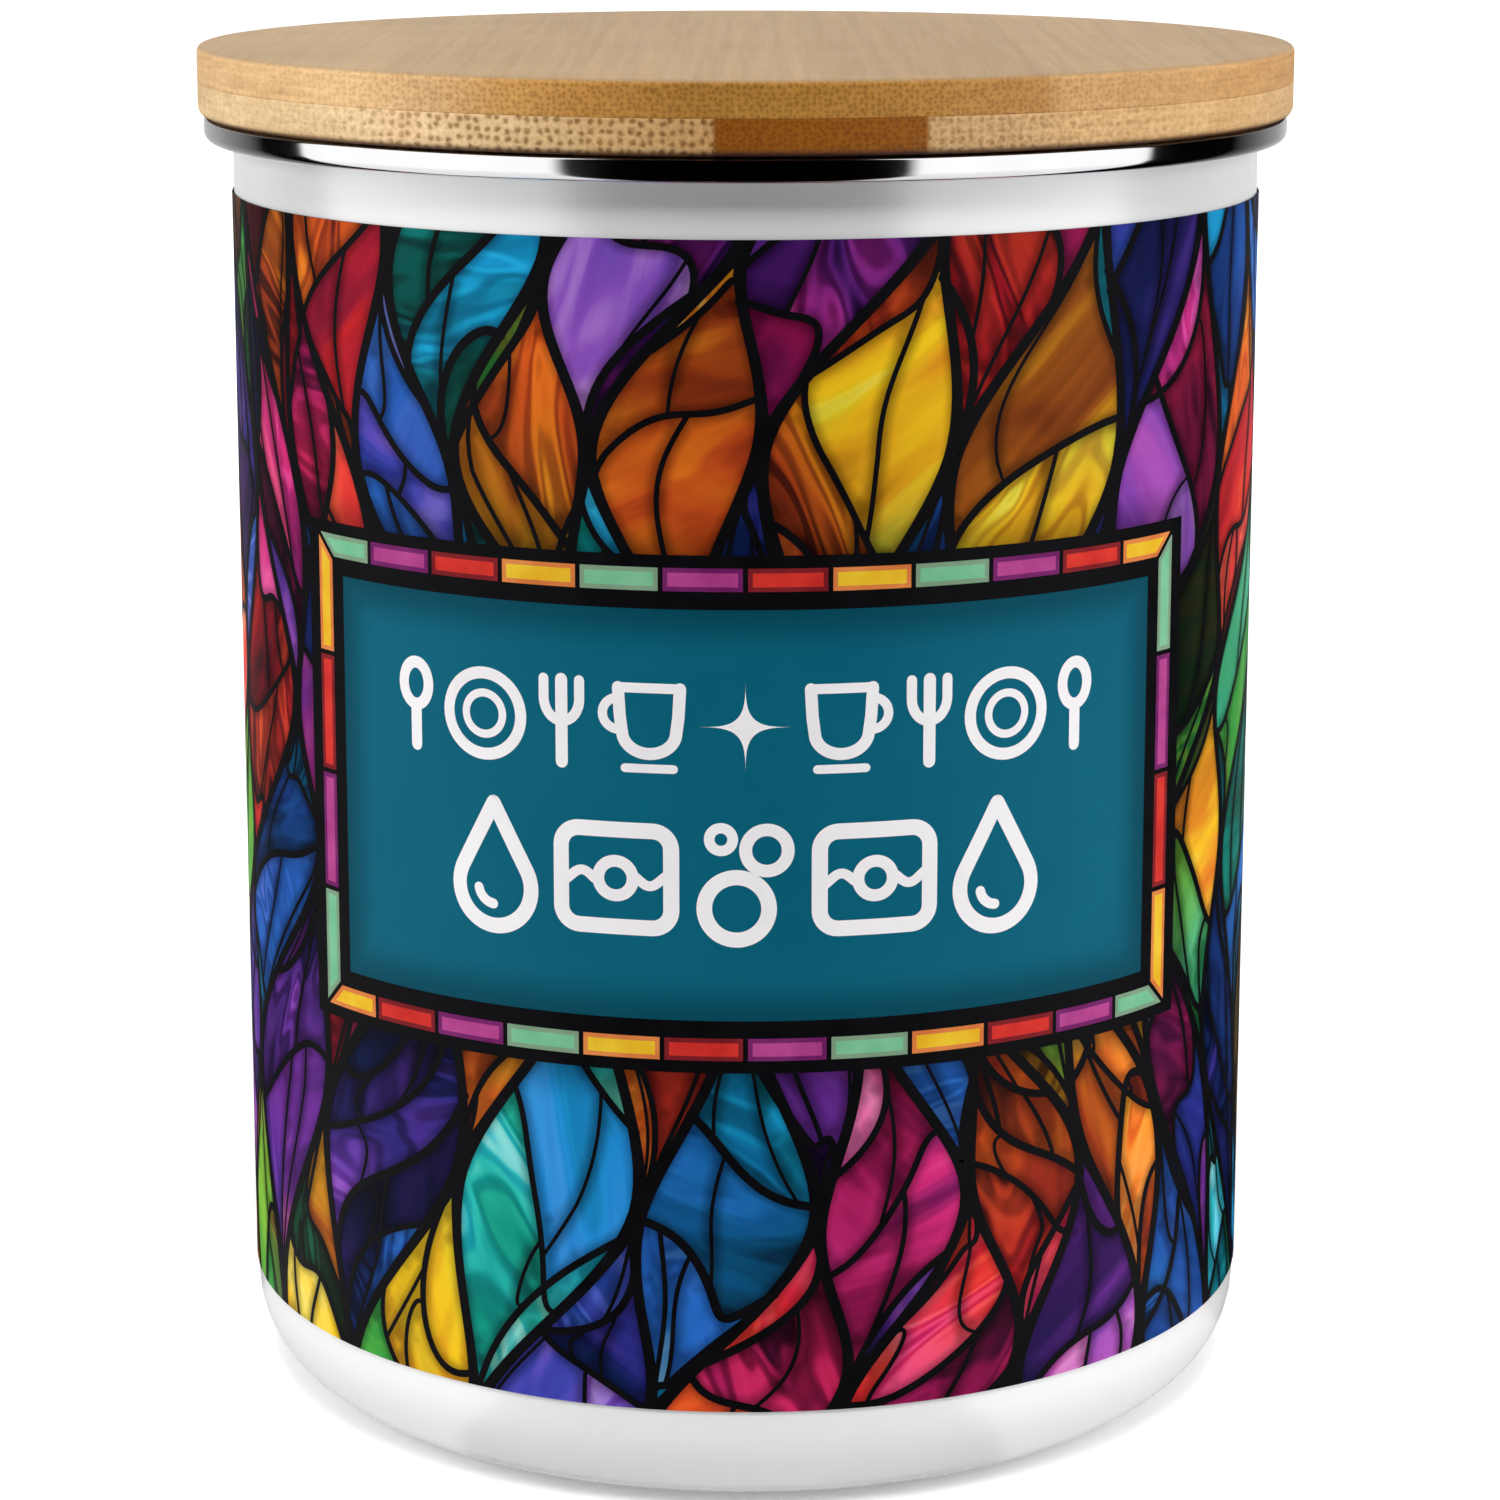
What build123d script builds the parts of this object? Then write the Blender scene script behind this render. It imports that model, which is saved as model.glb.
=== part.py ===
"""Kitchen storage tin for dishwasher tablets.

A straight steel canister with a rounded base is enamelled white. A bright steel ring is rolled over
its lip. The bamboo lid pushes in, on a plug with a silicone seal. The print runs right round the
wall: a black ground, fields of coloured glass between black leads, and a framed panel at the front.
The origin is the centre of the base, the axis is +Z, and the panel faces -Y. Lengths are millimetres.
"""
from build123d import *
import math
import os
import random

os.makedirs("parts", exist_ok=True)

# Enamelled body
body_radius = 50.0  # outside of the straight wall
body_top = 125.95  # top of the enamel lip
wall = 0.8  # steel with its enamel
base_round = 9.2  # outside rounding between wall and foot
foot_width = 7.0  # flat ring that the tin stands on
base_slope = 2.4  # width of the slope inside the foot
base_rise = 1.2  # how far the middle of the base is raised
lip_reach = 2.45  # how far the lip stands out from the wall
lip_height = 1.65
lip_corner = 0.6
neck_cove = 0.35
mouth_bevel = 1.1

# Bright rim ring
ring_sheet = 0.3
ring_round = 0.9  # lower outside rounding
ring_edge = 0.15  # upper outside bevel
bevel_angle = 45  # of the ring inside the mouth

# Bamboo lid
lid_reach = 0.55  # how far the lid stands out beyond the ring
lid_thickness = 6.7
lid_gap = 0.15  # between the ring and the lid at rest
lid_top_edge = 0.4
lid_bottom_edge = 0.6
plug_clearance = 2.6  # between the plug and the wall of the body
plug_depth = 9.6
plug_bevel = 0.9
groove_depth = 1.7
groove_width = 4.2
groove_drop = 2.4  # from the lid's underside down to the groove

# Silicone seal in the plug's groove
seal_seat = 0.05  # clearance to the groove
seal_band = 1.2  # thickness of the seal's inner band
fin_clearance = 0.2  # from the fins' tips to the wall of the body
fin_root = 1.2
fin_tip = 0.4
fin_lift = 0.5  # how far a fin's tip is turned up
fin_count = 2

# Printed wrap
print_low = 11.0  # lower edge of the print, above the table
print_margin = 6.95  # bare enamel above the print
ground_film = 0.12  # black ground on the enamel
field_film = 0.08  # each coloured field on the ground
lead_width = 0.9  # black lead between two fields of glass
least_field = 8.0  # smallest area of glass that is printed

# Lattice of the glass, in columns round the wall and rows up it
column_count = 22
row_count = 5
sway_turn = 8.0  # degrees that the columns sway sideways
sway_waves = 2
roll_rise = 3.2  # how far the rows roll up and down
roll_waves = 3
tip_share = 0.78  # of a row, from a field's middle to its tips
shoulder_share = 0.22  # of a row, from a field's middle to its shoulders
half_share = 0.5  # of a column, from a field's middle to its shoulders

# Colours of the glass, in the order of the wheel, and how they wander over the wall
glass_colours = ["red", "orange", "yellow", "green", "teal", "cyan", "blue", "indigo", "purple", "pink"]
wheel_middle = 5
wheel_drift = 2.6
drift_waves = 2
wheel_swing = 3.0
swing_waves = 3
swing_climb = 2
wheel_scatter = 2.0
wheel_seed = 1

# Framed panel, sizes along the wall
panel_width = 93.9
panel_height = 47.6
panel_lift = 2.3  # middle of the panel above the middle of the print
frame_edge = 1.15  # black edge outside the tiles, above and below
frame_side_edge = 1.65  # the same at the two sides
tile_width = 2.1
tile_gap = 0.45
frame_inner = 1.65  # black line between the tiles and the panel's field
tiles_across = 12
tiles_up = 4
tile_colours = ["sage", "magenta", "red", "amber"]

# Derived places
inner_radius = body_radius - wall
foot_radius = body_radius - base_round
dish_radius = foot_radius - foot_width
crown_radius = dish_radius - base_slope
slope_angle = math.atan2(base_rise, base_slope)
slope_shift = wall * math.tan(slope_angle / 2)
lip_radius = body_radius + lip_reach
lip_under = body_top - lip_height
ring_radius = lip_radius + ring_sheet
ring_top = body_top + ring_sheet
lid_radius = ring_radius + lid_reach
lid_under = ring_top + lid_gap
plug_radius = inner_radius - plug_clearance
plug_bottom = lid_under - plug_depth
groove_top = lid_under - groove_drop
groove_bottom = groove_top - groove_width
groove_radius = plug_radius - groove_depth
ground_radius = body_radius + ground_film
field_radius = ground_radius + field_film
past_print = field_radius + wall
print_top = body_top - print_margin
panel_middle = (print_low + print_top) / 2 + panel_lift
column_turn = 360 / column_count
row_rise = (print_top - print_low) / row_count


# White enamelled body, one pressing from base to lip
with BuildPart() as enamel_body:
    with BuildSketch(Plane.XZ):
        with BuildLine():
            outer_base = Polyline(
                (0, base_rise),
                (crown_radius, base_rise),
                (dish_radius, 0),
                (foot_radius, 0),
            )
            outer_turn = RadiusArc(
                outer_base @ 1, (body_radius, base_round), -base_round
            )
            outer_wall = Polyline(
                outer_turn @ 1,
                (body_radius, lip_under - neck_cove),
                (body_radius + neck_cove, lip_under),
                (lip_radius - lip_corner, lip_under),
                (lip_radius, lip_under + lip_corner),
                (lip_radius, body_top),
                (inner_radius + mouth_bevel, body_top),
                (inner_radius, body_top - mouth_bevel),
                (inner_radius, base_round),
            )
            inner_turn = RadiusArc(
                outer_wall @ 1, (foot_radius, wall), base_round - wall
            )
            inner_base = Polyline(
                inner_turn @ 1,
                (dish_radius + slope_shift, wall),
                (crown_radius + slope_shift, base_rise + wall),
                (0, base_rise + wall),
            )
            Line(inner_base @ 1, (0, base_rise))
        make_face()
    revolve(axis=Axis.Z)
enamel_body.part.label = "enamel_body"
export_step(enamel_body.part, "parts/enamel_body.step")

# Bright steel ring, rolled round the lip from under its edge to inside the mouth
sheet_turn = ring_sheet * math.tan(math.radians(bevel_angle) / 2)
bevel_reach = ring_sheet * math.sin(math.radians(bevel_angle))
with BuildPart() as rim_ring:
    with BuildSketch(Plane.XZ):
        with BuildLine():
            under = Line(
                (body_radius + neck_cove, lip_under),
                (body_radius + neck_cove, lip_under - ring_sheet),
            )
            under_run = Line(
                under @ 1, (ring_radius - ring_round, lip_under - ring_sheet)
            )
            lower_round = RadiusArc(
                under_run @ 1,
                (ring_radius, lip_under - ring_sheet + ring_round),
                -ring_round,
            )
            outside = Polyline(
                lower_round @ 1,
                (ring_radius, ring_top - ring_edge),
                (ring_radius - ring_edge, ring_top),
                (inner_radius + mouth_bevel - sheet_turn, ring_top),
                (inner_radius, body_top - mouth_bevel + bevel_reach + sheet_turn),
                (inner_radius, body_top - mouth_bevel),
                (inner_radius + mouth_bevel, body_top),
                (lip_radius, body_top),
                (lip_radius, lip_under + lip_corner),
                (lip_radius - lip_corner, lip_under),
            )
            Line(outside @ 1, under @ 0)
        make_face()
    revolve(axis=Axis.Z)
rim_ring.part.label = "rim_ring"
export_step(rim_ring.part, "parts/rim_ring.step")

# Bamboo lid: a disc of two glued plies, turned with a grooved plug below
with BuildPart() as bamboo_lid:
    with BuildSketch(Plane.XY.offset(lid_under)):
        Circle(lid_radius)
    extrude(amount=lid_thickness)
    rim_edges = bamboo_lid.edges().filter_by(GeomType.CIRCLE)
    chamfer(rim_edges.sort_by(Axis.Z)[0], length=lid_bottom_edge)
    chamfer(bamboo_lid.edges().sort_by(Axis.Z)[-1], length=lid_top_edge)
    with BuildSketch(Plane.XZ):
        with BuildLine():
            Polyline(
                (0, lid_under),
                (plug_radius, lid_under),
                (plug_radius, groove_top),
                (groove_radius, groove_top),
                (groove_radius, groove_bottom),
                (plug_radius, groove_bottom),
                (plug_radius, plug_bottom + plug_bevel),
                (plug_radius - plug_bevel, plug_bottom),
                (0, plug_bottom),
                close=True,
            )
        make_face()
    revolve(axis=Axis.Z)
bamboo_lid.part.label = "bamboo_lid"
export_step(bamboo_lid.part, "parts/bamboo_lid.step")

# Silicone seal: a band in the groove, with fins that reach for the wall
seal_inner = groove_radius + seal_seat
fin_start = seal_inner + seal_band
fin_end = inner_radius - fin_clearance
seal_low = groove_bottom + seal_seat
seal_high = groove_top - seal_seat
fin_pitch = (seal_high - seal_low) / fin_count
with BuildPart() as seal_ring:
    with BuildSketch(Plane.XZ):
        with BuildLine():
            outline = [(seal_inner, seal_low), (fin_start, seal_low)]
            for fin in range(fin_count):
                middle = seal_low + fin_pitch / 2 + fin_pitch * fin
                outline += [
                    (fin_start, middle - fin_root / 2),
                    (fin_end, middle + fin_lift - fin_tip / 2),
                    (fin_end, middle + fin_lift + fin_tip / 2),
                    (fin_start, middle + fin_root / 2),
                ]
            outline += [(fin_start, seal_high), (seal_inner, seal_high)]
            Polyline(*outline, close=True)
        make_face()
    revolve(axis=Axis.Z)
seal_ring.part.label = "seal_ring"
export_step(seal_ring.part, "parts/seal_ring.step")


# Black ground of the print, a film right round the wall
with BuildPart() as print_ground:
    with BuildSketch(Plane.XY.offset(print_low)):
        Circle(ground_radius)
        Circle(body_radius, mode=Mode.SUBTRACT)
    extrude(amount=print_top - print_low)
print_ground.part.label = "print_ground"
export_step(print_ground.part, "parts/print_ground.step")


def wall_turn(length):
    """Degrees round the wall for a length along it."""
    return math.degrees(length / body_radius)


def facing_plane(turn):
    """The upright plane through the axis that faces the wall at that turn."""
    angle = math.radians(turn)
    return Plane(
        origin=(0, 0, 0),
        x_dir=(math.cos(angle), math.sin(angle), 0),
        z_dir=(math.sin(angle), -math.cos(angle), 0),
    )


def wall_sketch(outline, turn, lead=0):
    """A flat outline that faces the wall, from turns and heights, half a lead smaller all round."""
    points = [
        (ground_radius * math.sin(math.radians(place - turn)), height)
        for place, height in outline
    ]
    with BuildSketch(facing_plane(turn)) as flat:
        with BuildLine():
            Polyline(*points, close=True)
        make_face()
        if lead:
            offset(amount=-lead / 2, kind=Kind.INTERSECTION)
    return flat.sketch


# The layer of coloured film on the ground, and the part of it that glass covers, clear of the panel
with BuildPart() as film:
    with BuildSketch(Plane.XY.offset(print_low)):
        Circle(field_radius)
        Circle(ground_radius, mode=Mode.SUBTRACT)
    extrude(amount=print_top - print_low)



def upright(half_turn, low, high):
    """Outline of a piece of wall that is centred on the front."""
    return [(-half_turn, low), (half_turn, low), (half_turn, high), (-half_turn, high)]


panel_turn = wall_turn(panel_width / 2)
panel_low = panel_middle - panel_height / 2
panel_high = panel_middle + panel_height / 2
with BuildPart() as glass_film:
    add(film.part)
    panel_outline = wall_sketch(upright(panel_turn, panel_low, panel_high), 0)
    extrude(panel_outline, amount=past_print, mode=Mode.SUBTRACT)

# Plain field of the panel, inside its frame
frame_depth = frame_edge + tile_width + frame_inner
side_depth = frame_side_edge + tile_width + frame_inner
field_turn = wall_turn(panel_width / 2 - side_depth)
with BuildPart() as panel_field:
    add(film.part)
    field_outline = upright(field_turn, panel_low + frame_depth, panel_high - frame_depth)
    extrude(wall_sketch(field_outline, 0), amount=past_print, mode=Mode.INTERSECT)
panel_field.part.label = "panel_field"
export_step(panel_field.part, "parts/panel_field.step")


def tile_row(start, along, inward, length, count):
    """Outlines of a row of tiles, mitred at both ends, as lengths along the wall and heights."""
    pitch = length / count
    corner = tile_gap / 2 * math.sqrt(2)
    outlines = []
    for tile in range(count):
        near = near_inside = pitch * tile + tile_gap / 2
        far = far_inside = pitch * (tile + 1) - tile_gap / 2
        if tile == 0:
            near, near_inside = corner, tile_width + corner
        if tile == count - 1:
            far, far_inside = length - corner, length - tile_width - corner
        reach = [(near, 0), (far, 0), (far_inside, tile_width), (near_inside, tile_width)]
        outlines.append(
            [
                (
                    start[0] + along[0] * run + inward[0] * depth,
                    start[1] + along[1] * run + inward[1] * depth,
                )
                for run, depth in reach
            ]
        )
    return outlines


# Tiles of the frame, in four colours that follow each other round it
tiles_side = panel_width / 2 - frame_side_edge
tiles_high = panel_high - frame_edge
tiles_low = panel_low + frame_edge
tiles_rise = tiles_high - tiles_low
rows = [
    (tile_row((-tiles_side, tiles_high), (1, 0), (0, -1), 2 * tiles_side, tiles_across), 1),
    (tile_row((-tiles_side, tiles_low), (1, 0), (0, 1), 2 * tiles_side, tiles_across), -1),
    (tile_row((-tiles_side, tiles_high), (0, -1), (1, 0), tiles_rise, tiles_up), -1),
    (tile_row((tiles_side, tiles_high), (0, -1), (-1, 0), tiles_rise, tiles_up), 1),
]
for number, colour in enumerate(tile_colours):
    with BuildPart() as tiles:
        for outlines, order in rows:
            first = number if order > 0 else len(tile_colours) - 1 - number
            for outline in outlines[first :: len(tile_colours)]:
                turned = [(wall_turn(length), height) for length, height in outline]
                middle_turn = sum(turn for turn, height in turned) / len(turned)
                extrude(wall_sketch(turned, middle_turn), amount=past_print)
        add(film.part, mode=Mode.INTERSECT)
    tiles.part.label = f"tile_{colour}"
    export_step(tiles.part, f"parts/tile_{colour}.step")


def lattice(column, row):
    """Turn and height of a place in the lattice, which sways sideways and rolls up and down."""
    turn = column_turn * column
    angle = math.radians(turn)
    rise = math.tau * row / row_count
    sway = sway_turn * math.sin(rise + sway_waves * angle)
    roll = roll_rise * math.sin(roll_waves * angle - rise)
    return turn + sway, print_low + row_rise * row + roll


def glass_colour(column, row, shuffle):
    """The colour of a field. Neighbours lie near each other on the wheel of colours."""
    around = math.tau * column / column_count
    upward = math.tau * row / row_count
    place = wheel_middle + wheel_drift * math.sin(drift_waves * around + upward)
    place += wheel_swing * math.cos(swing_waves * around - swing_climb * upward)
    place += wheel_scatter * shuffle.random()
    return glass_colours[round(place) % len(glass_colours)]


# Fields of glass: pointed above and below, with a lead left between neighbours
shuffle = random.Random(wheel_seed)
fields = {colour: [] for colour in glass_colours}
for row in range(-1, row_count + 2):
    for count in range(column_count):
        column = count + half_share * (row % 2)
        outline = [
            lattice(column, row + tip_share),
            lattice(column + half_share, row + shoulder_share),
            lattice(column + half_share, row - shoulder_share),
            lattice(column, row - tip_share),
            lattice(column - half_share, row - shoulder_share),
            lattice(column - half_share, row + shoulder_share),
        ]
        turn, height = lattice(column, row)
        fields[glass_colour(column, row, shuffle)].append((turn, outline))

smallest_field = least_field * field_film
for colour, outlines in fields.items():
    with BuildPart() as cut:
        for turn, outline in outlines:
            extrude(wall_sketch(outline, turn, lead_width), amount=past_print, clean=False)
        add(glass_film.part, mode=Mode.INTERSECT)
    with BuildPart() as glass:
        add(cut.solids().filter_by(lambda solid: solid.volume > smallest_field))
    glass.part.label = f"glass_{colour}"
    export_step(glass.part, f"parts/glass_{colour}.step")
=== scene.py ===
"""Looks of the kitchen tin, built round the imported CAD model.

The round pieces are turned again with softer edges and more facets. The print repeats the lattice of
the part's source and cuts each of its fields into pieces of glass between leads. Lengths are
millimetres until a mesh is made. A place on the flat print is (length along the wall, height), with
the front at length 0. The stage, lamps and camera are in metres.
"""
import math
import random

import bpy
import numpy as np
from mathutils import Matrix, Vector
from mathutils.geometry import delaunay_2d_cdt


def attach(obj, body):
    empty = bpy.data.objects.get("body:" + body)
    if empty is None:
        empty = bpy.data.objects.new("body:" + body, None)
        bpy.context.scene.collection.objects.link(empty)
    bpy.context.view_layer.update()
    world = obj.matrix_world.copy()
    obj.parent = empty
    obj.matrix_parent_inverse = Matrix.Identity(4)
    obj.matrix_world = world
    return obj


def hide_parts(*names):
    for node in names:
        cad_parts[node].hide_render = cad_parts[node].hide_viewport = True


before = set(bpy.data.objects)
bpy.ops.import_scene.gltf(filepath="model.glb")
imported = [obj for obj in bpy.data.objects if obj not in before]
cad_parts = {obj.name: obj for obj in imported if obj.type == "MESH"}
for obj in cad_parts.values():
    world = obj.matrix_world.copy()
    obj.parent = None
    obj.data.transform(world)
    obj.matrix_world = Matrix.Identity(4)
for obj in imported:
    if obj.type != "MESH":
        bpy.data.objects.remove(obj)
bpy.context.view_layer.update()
scene = bpy.context.scene
millimetre = 0.001

# Sizes of the part's source
body_radius = 50.0
inner_radius = 49.2
wall = 0.8
base_rise = 1.2
base_round = 9.2
foot_inner = 33.8
bowl_radius = 31.4
bowl_shift = 0.19
lip_radius = 52.45
lip_under = 124.3
lip_top = 125.95
mouth_radius = 50.3
mouth_low = 124.85
ring_inner = 50.35
ring_radius = 52.75
ring_low = 124.0
ring_top = 126.25
bevel_radius = 50.176
bevel_low = 125.186
plug_radius = 46.6
plug_low = 116.8
groove_radius = 44.9
groove_low = 119.8
groove_top = 124.0
lid_radius = 53.3
lid_under = 126.4
lid_top = 133.1
ply_seam = 129.75
ground_radius = 50.12
field_radius = 50.2
print_low = 11.0
print_top = 119.0
column_count = 22
row_count = 5
column_turn = 360 / column_count
row_rise = (print_top - print_low) / row_count
panel_width = 93.9
panel_height = 47.6
panel_middle = 67.3
frame_edge = 1.15
frame_side_edge = 1.65
tile_width = 2.1
tile_gap = 0.45
frame_inner = 1.65
tiles_across = 12
tiles_up = 4

# Outer and inner radius of each layer of the print
glass_layer = (field_radius, ground_radius - 0.04)
lead_layer = (field_radius + 0.015, ground_radius - 0.05)
plate_layer = (field_radius + 0.035, ground_radius - 0.06)
panel_layer = (field_radius + 0.055, field_radius - 0.05)
sign_layer = (field_radius + 0.08, field_radius - 0.02)

# Lid: depth of the seam between its plies, half the width of its colours, and its brown lower strip
seam_dip = 0.05
ply_reach = 54
brown_left = -2.7
brown_right = 15.8


# Meshes

def add_object(name, data):
    """Puts a mesh, a lamp or a camera in the scene."""
    made = bpy.data.objects.new(name, data)
    scene.collection.objects.link(made)
    return made


def place_piece(name, mesh, body, nodes, materials):
    """Puts a mesh in the scene as a piece that rides on a body and stands for CAD nodes."""
    piece = add_object(name, mesh)
    for material in materials:
        mesh.materials.append(material)
    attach(piece, body)
    if nodes:
        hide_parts(*nodes)


def pairs(items):
    """Each item with the one after it, round a closed list."""
    return zip(items, items[1:] + items[:1])


def soft_outline(corners, steps=7):
    """A closed outline from corners of (radius, height, rounding)."""
    outline = []
    for number, (radius, height, rounding) in enumerate(corners):
        here = np.array((radius, height))
        if not rounding:
            outline.append(here)
            continue
        before = np.array(corners[number - 1][:2]) - here
        after = np.array(corners[(number + 1) % len(corners)][:2]) - here
        before /= np.linalg.norm(before)
        after /= np.linalg.norm(after)
        half = math.acos(float(np.clip(before @ after, -1, 1))) / 2
        middle = before + after
        centre = here + middle / np.linalg.norm(middle) * rounding / math.sin(half)
        first = here + before * rounding / math.tan(half) - centre
        last = here + after * rounding / math.tan(half) - centre
        start = math.atan2(first[1], first[0])
        sweep = math.atan2(first[0] * last[1] - first[1] * last[0], first @ last)
        for step in range(steps + 1):
            angle = start + sweep * step / steps
            outline.append(centre + rounding * np.array((math.cos(angle), math.sin(angle))))
    return outline


def turned(outline, around=256):
    """A closed mesh of revolution. The outline runs up the outside and back down the inside."""
    points, faces, rings = [], [], []
    for radius, height in outline:
        if radius < 1e-6:
            rings.append([len(points)] * (around + 1))
            points.append((0, 0, height))
            continue
        first = len(points)
        rings.append([first + number % around for number in range(around + 1)])
        for number in range(around):
            angle = math.tau * number / around
            points.append((radius * math.sin(angle), -radius * math.cos(angle), height))
    for low, high in pairs(rings):
        for number in range(around):
            face = [low[number], low[number + 1], high[number + 1], high[number]]
            face = list(dict.fromkeys(face))
            if len(face) > 2:
                faces.append(face)
    mesh = bpy.data.meshes.new("turned")
    mesh.from_pydata([[value * millimetre for value in point] for point in points], [], faces)
    mesh.polygons.foreach_set("use_smooth", [True] * len(faces))
    mesh.set_sharp_from_angle(angle=math.radians(32))
    return mesh


class Film:
    """A thin closed layer on the wall, gathered from flat faces and then wrapped round it."""

    def __init__(self, names=()):
        self.names = names
        self.points, self.values, self.faces, self.kinds = [], [], [], []

    def add(self, points, faces, values=None, kind=0):
        points = np.asarray(points, float)
        if values is None:
            values = np.zeros((len(points), len(self.names)))
        for level, side in ((print_low, 1), (print_top, -1)):
            points, values, faces = trim(points, values, faces, level, side)
        used = sorted({index for face in faces for index in face})
        place = {index: len(self.points) + number for number, index in enumerate(used)}
        self.points += [points[index] for index in used]
        self.values += [values[index] for index in used]
        self.faces += [[place[index] for index in face] for face in faces]
        self.kinds += [kind] * len(faces)

    def mesh(self, outer, inner):
        flat = np.array(self.points)
        count = len(flat)
        angle = flat[:, 0] / body_radius
        outward = np.stack([np.sin(angle), -np.cos(angle), np.zeros(count)], 1)
        upright = np.stack([np.zeros(count), np.zeros(count), flat[:, 1]], 1)
        points = np.concatenate([outward * outer + upright, outward * inner + upright])
        edges = {}
        for number, face in enumerate(self.faces):
            for pair in pairs(face):
                edges[pair] = number
        rims = [pair for pair in edges if pair[::-1] not in edges]
        faces = self.faces + [[index + count for index in face[::-1]] for face in self.faces]
        faces += [[a, a + count, b + count, b] for a, b in rims]
        kinds = self.kinds * 2 + [self.kinds[edges[pair]] for pair in rims]
        mesh = bpy.data.meshes.new("film")
        mesh.from_pydata((points * millimetre).tolist(), [], faces)
        skin = len(self.faces) * 2
        mesh.polygons.foreach_set("use_smooth", [number < skin for number in range(len(faces))])
        mesh.polygons.foreach_set("material_index", kinds)
        for number, name in enumerate(self.names):
            column = np.array(self.values)[:, number]
            attribute = mesh.attributes.new(name, "FLOAT", "POINT")
            attribute.data.foreach_set("value", np.tile(column, 2).astype(np.float32))
        facing = np.concatenate([outward, -outward])
        normals = [facing[index] if number < skin else np.zeros(3)
                   for number, face in enumerate(faces) for index in face]
        mesh.normals_split_custom_set(np.array(normals).tolist())
        return mesh


def trim(points, values, faces, level, side):
    """Cuts faces at a height, and keeps what lies above it (side 1) or below it (side -1)."""
    gap = side * (points[:, 1] - level)
    if gap.min() >= 0:
        return points, values, faces
    points, values = list(points), list(values)
    made, kept = {}, []
    for face in faces:
        outline = []
        for here, after in pairs(face):
            if gap[here] >= 0:
                outline.append(here)
            if (gap[here] >= 0) != (gap[after] >= 0):
                pair = (min(here, after), max(here, after))
                if pair not in made:
                    share = gap[pair[0]] / (gap[pair[0]] - gap[pair[1]])
                    made[pair] = len(points)
                    points.append(points[pair[0]] + share * (points[pair[1]] - points[pair[0]]))
                    values.append(values[pair[0]] + share * (values[pair[1]] - values[pair[0]]))
                outline.append(made[pair])
        if len(outline) > 2:
            kept.append(outline)
    return np.array(points), np.array(values), kept


def distance(points, chains):
    """The distance of each point to the nearest run of the chains."""
    starts = np.concatenate([np.array(chain[:-1]) for chain in chains])
    runs = np.concatenate([np.array(chain[1:]) - np.array(chain[:-1]) for chain in chains])
    offset = points[:, None] - starts[None]
    length = (runs * runs).sum(1) + 1e-12
    share = np.clip((offset * runs[None]).sum(2) / length, 0, 1)
    return np.linalg.norm(offset - share[..., None] * runs[None], axis=2).min(1)


def fill(chains, spacing):
    """Fills the closed first chain with triangles that keep to all the chains.

    Returns the points, the groups of faces that the chains part from each other, all facing one way,
    and each point's distance to the nearest chain.
    """
    points, edges = [], []
    for chain in chains:
        first = len(points)
        points += [Vector(point) for point in chain]
        edges += [(first + number, first + number + 1) for number in range(len(chain) - 1)]
    low = np.min(chains[0], axis=0)
    high = np.max(chains[0], axis=0)
    step = spacing * math.sqrt(3) / 2
    grid = [
        (low[0] + spacing * (column + (row % 2) / 2), low[1] + step * row)
        for row in range(int((high[1] - low[1]) / step) + 2)
        for column in range(int((high[0] - low[0]) / spacing) + 2)
    ]
    grid = np.array(grid)
    clearance = spacing * 0.55
    grid = grid[distance(grid, chains) > clearance]
    points += [Vector(point) for point in grid.tolist()]
    closed = list(range(len(chains[0]) - 1))
    if area_of(np.array(chains[0]), [closed]) < 0:
        closed.reverse()
    found = delaunay_2d_cdt(points, edges, [closed], 0, 1e-5, True)
    flat, sides, faces, _, origins, inside = found
    faces = [list(face) for face, origin in zip(faces, inside) if origin]
    walls = {tuple(sorted(side)) for side, origin in zip(sides, origins) if origin}
    flat = np.array([tuple(point) for point in flat])
    sides_of = [[tuple(sorted(pair)) for pair in pairs(face)] for face in faces]
    beside = {}
    for number, sides in enumerate(sides_of):
        for side in sides:
            beside.setdefault(side, []).append(number)
    seen, groups = set(), []
    for first in range(len(faces)):
        if first in seen:
            continue
        seen.add(first)
        members, waiting = [], [first]
        while waiting:
            number = waiting.pop()
            members.append(faces[number])
            for side in sides_of[number]:
                fresh = [other for other in beside[side] if side not in walls and other not in seen]
                seen.update(fresh)
                waiting += fresh
        if area_of(flat, members) < 0:
            members = [face[::-1] for face in members]
        groups.append(members)
    return flat, groups, distance(flat, chains)


def area_of(flat, faces):
    """The area of flat faces."""
    total = 0
    for face in faces:
        corners = flat[face]
        after = np.roll(corners, -1, axis=0)
        total += float((corners[:, 0] * after[:, 1] - corners[:, 1] * after[:, 0]).sum()) / 2
    return total


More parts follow.
